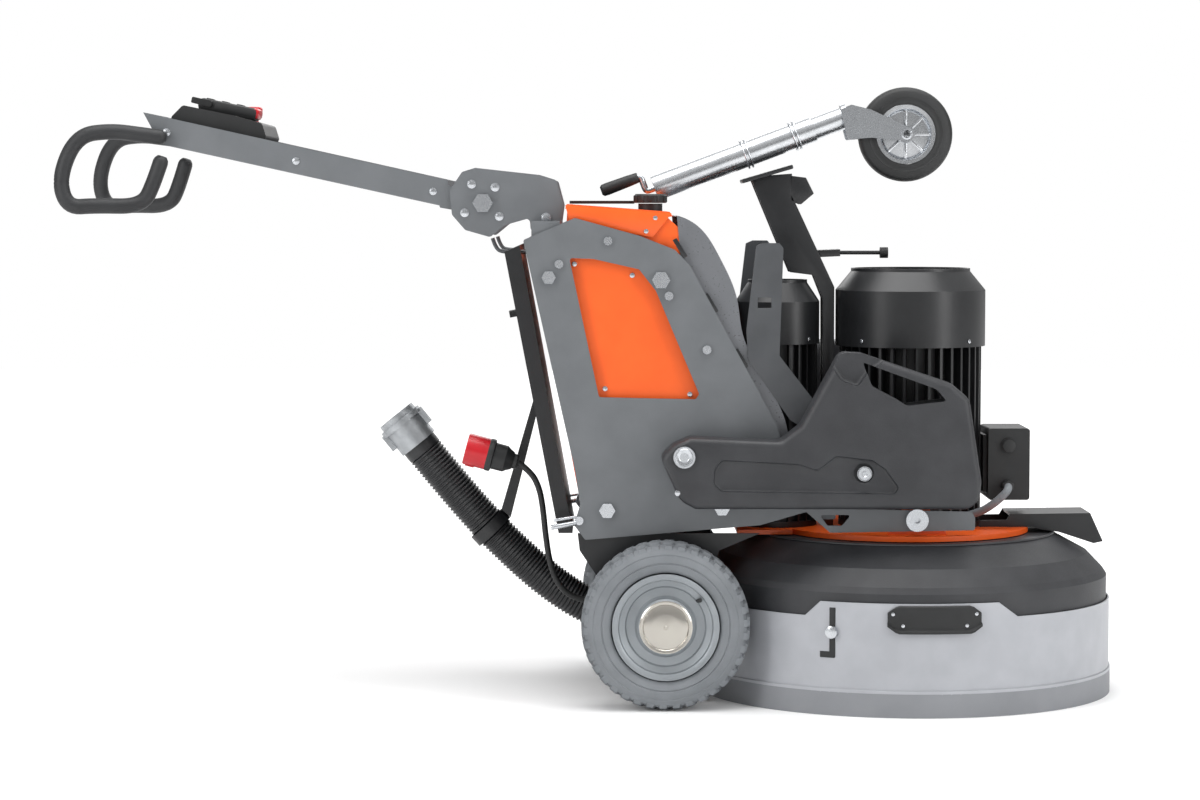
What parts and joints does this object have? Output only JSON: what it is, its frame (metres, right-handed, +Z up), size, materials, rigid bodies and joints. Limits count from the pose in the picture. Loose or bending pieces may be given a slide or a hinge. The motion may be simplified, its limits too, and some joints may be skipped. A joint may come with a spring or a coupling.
{
  "type": "planetary floor grinder",
  "caption": "Walk-behind planetary concrete floor grinder with two motors, swing weights, folding handle, dust shroud and hose, drive wheels and a jockey wheel.",
  "frame": {"origin": "on the floor, under the middle of the machine's box", "axes": "+X forwards along the machine's length, +Y to its left, +Z up"},
  "size_m": [2.096, 0.854, 1.214],
  "materials": {
    "frame_grey": "satin powder coat",
    "orange_sheet": "satin powder coat",
    "cover_grey": "satin",
    "black_plastic": "textured",
    "black_steel": "semi-gloss",
    "red_plastic": "gloss",
    "zinc": "zinc plated",
    "motor_black": "painted casting",
    "hood_black": "textured",
    "skirt_grey": "satin",
    "brush_grey": "dense bristle",
    "disc_steel": "machined",
    "turntable_alloy": "cast",
    "tyre_grey": "non-marking rubber",
    "caster_rubber": "solid rubber",
    "rim_silver": "satin",
    "weight_black": "under a textured cover",
    "hose_black": "corrugated",
    "cable_black": "smooth",
    "coupling_alloy": "cast"
  },
  "bodies": {
    "chassis": {"side_frame_right": "frame_grey", "side_frame_left": "frame_grey", "pivot_plates": "frame_grey", "support_arms": "frame_grey", "cabinet_shell": "orange_sheet", "top_panel": "orange_sheet", "front_cover": "cover_grey", "top_lid": "black_plastic", "power_plug": "black_plastic", "water_tank": "black_plastic", "rear_door": "black_steel", "axle_carrier": "black_steel", "hose_holder": "black_steel", "cross_tubes": "zinc", "frame_bolts": "zinc", "pivot_pins": "zinc", "drive_unit": "motor_black", "dust_hose": "hose_black", "power_cable": "cable_black", "hose_coupling": "coupling_alloy"},
    "wheel_right": {"rim_right": "rim_silver", "tyre_right": "tyre_grey"},
    "wheel_left": {"rim_left": "rim_silver", "tyre_left": "tyre_grey"},
    "handle": {"handle_beam": "frame_grey", "grips": "black_steel", "dash_housing": "black_plastic"},
    "stop_button": {"stop_button": "red_plastic"},
    "main_switch": {"main_switch": "black_plastic"},
    "tank_cap": {"tank_cap": "black_plastic"},
    "head": {"head_plate": "orange_sheet", "hood": "hood_black", "big_motor": "motor_black", "big_cowl": "black_steel", "small_motor": "motor_black", "small_cowl": "black_steel", "terminal_box": "black_plastic", "jockey_post": "black_steel", "front_bracket": "black_steel", "outer_tube": "zinc", "inner_tube": "zinc"},
    "shroud": {"skirt": "skirt_grey", "brush_strip": "brush_grey", "shroud_handles": "black_plastic"},
    "turntable": {"turntable": "turntable_alloy"},
    "disc_1": {"grinding_disc_1": "disc_steel"},
    "disc_2": {"grinding_disc_2": "disc_steel"},
    "disc_3": {"grinding_disc_3": "disc_steel"},
    "big_rotor": {"big_fan": "zinc"},
    "small_rotor": {"small_fan": "zinc"},
    "weight_right": {"weight_right": "weight_black"},
    "weight_left": {"weight_left": "weight_black"},
    "lock_right": {"weight_lock_right": "zinc"},
    "lock_left": {"weight_lock_left": "zinc"},
    "crank": {"crank": "zinc"},
    "fork": {"fork": "zinc"},
    "caster": {"caster_wheel": "rim_silver", "caster_tyre": "caster_rubber"},
    "plunger": {"jockey_plunger": "black_plastic"}
  },
  "joints": [
    {"name": "wheel_right_spin", "type": "hinge", "parent": "chassis", "child": "wheel_right", "pos_m": [0.143, -0.297, 0.164], "axis": [0, 1, 0], "continuous": true},
    {"name": "wheel_left_spin", "type": "hinge", "parent": "chassis", "child": "wheel_left", "pos_m": [0.143, 0.297, 0.164], "axis": [0, 1, 0], "continuous": true},
    {"name": "handle_fold", "type": "hinge", "parent": "chassis", "child": "handle", "pos_m": [-0.214, 0, 0.981], "axis": [0, 1, 0], "range_deg": [-15, 75]},
    {"name": "stop_press", "type": "slide", "parent": "handle", "child": "stop_button", "axis": [0, 0, -1], "range_m": [0, 0.005], "stiffness_N_per_m": 1500},
    {"name": "main_switch_turn", "type": "hinge", "parent": "chassis", "child": "main_switch", "pos_m": [-0.1485, 0.12, 0.7564], "axis": [-0.982, 0, -0.1888], "range_deg": [0, 90]},
    {"name": "tank_cap_turn", "type": "hinge", "parent": "chassis", "child": "tank_cap", "pos_m": [0.116, -0.1, 0.985], "axis": [0, 0, 1], "range_deg": [0, 270]},
    {"name": "head_tilt", "type": "hinge", "parent": "chassis", "child": "head", "pos_m": [0.637, 0, 0.361], "axis": [0, 1, 0], "range_deg": [-0.4, 0.4]},
    {"name": "shroud_lift", "type": "slide", "parent": "head", "child": "shroud", "axis": [0, 0, 1], "range_m": [0, 0.03]},
    {"name": "turntable_spin", "type": "hinge", "parent": "head", "child": "turntable", "pos_m": [0.632, 0, 0.12], "axis": [0, 0, 1], "continuous": true},
    {"name": "disc_1_spin", "type": "hinge", "parent": "turntable", "child": "disc_1", "pos_m": [0.832, 0, 0.06], "axis": [0, 0, 1], "continuous": true},
    {"name": "disc_2_spin", "type": "hinge", "parent": "turntable", "child": "disc_2", "pos_m": [0.532, 0.1732, 0.06], "axis": [0, 0, 1], "continuous": true},
    {"name": "disc_3_spin", "type": "hinge", "parent": "turntable", "child": "disc_3", "pos_m": [0.532, -0.1732, 0.06], "axis": [0, 0, 1], "continuous": true},
    {"name": "big_rotor_spin", "type": "hinge", "parent": "head", "child": "big_rotor", "pos_m": [0.644, 0, 0.78], "axis": [0, 0, 1], "continuous": true},
    {"name": "small_rotor_spin", "type": "hinge", "parent": "head", "child": "small_rotor", "pos_m": [0.375, 0, 0.77], "axis": [0, 0, 1], "continuous": true},
    {"name": "weight_right_swing", "type": "hinge", "parent": "chassis", "child": "weight_right", "pos_m": [0.178, -0.29, 0.493], "axis": [0, 1, 0], "range_deg": [-110, 0]},
    {"name": "weight_left_swing", "type": "hinge", "parent": "chassis", "child": "weight_left", "pos_m": [0.178, 0.29, 0.493], "axis": [0, 1, 0], "range_deg": [-110, 0]},
    {"name": "lock_right_pull", "type": "slide", "parent": "weight_right", "child": "lock_right", "axis": [0, -1, 0], "range_m": [0, 0.012], "stiffness_N_per_m": 800},
    {"name": "lock_left_pull", "type": "slide", "parent": "weight_left", "child": "lock_left", "axis": [0, 1, 0], "range_m": [0, 0.012], "stiffness_N_per_m": 800},
    {"name": "crank_turn", "type": "hinge", "parent": "head", "child": "crank", "pos_m": [0.127, 0, 1.011], "axis": [0.9373, 0, 0.3486], "range_deg": [-20, 20]},
    {"name": "fork_swivel", "type": "hinge", "parent": "head", "child": "fork", "pos_m": [0.50754, 0, 1.15252], "axis": [0.9373, 0, 0.3486], "continuous": true},
    {"name": "caster_spin", "type": "hinge", "parent": "fork", "child": "caster", "pos_m": [0.6314, 0, 1.119], "axis": [0, 1, 0], "continuous": true},
    {"name": "plunger_pull", "type": "slide", "parent": "head", "child": "plunger", "axis": [1, 0, 0], "range_m": [0, 0.01], "stiffness_N_per_m": 800}
  ],
  "couplings": [
    {"joint": "disc_2_spin", "follows": "disc_1_spin", "ratio": 1},
    {"joint": "disc_3_spin", "follows": "disc_1_spin", "ratio": 1},
    {"joint": "big_rotor_spin", "follows": "disc_1_spin", "ratio": 3},
    {"joint": "small_rotor_spin", "follows": "turntable_spin", "ratio": 20}
  ]
}
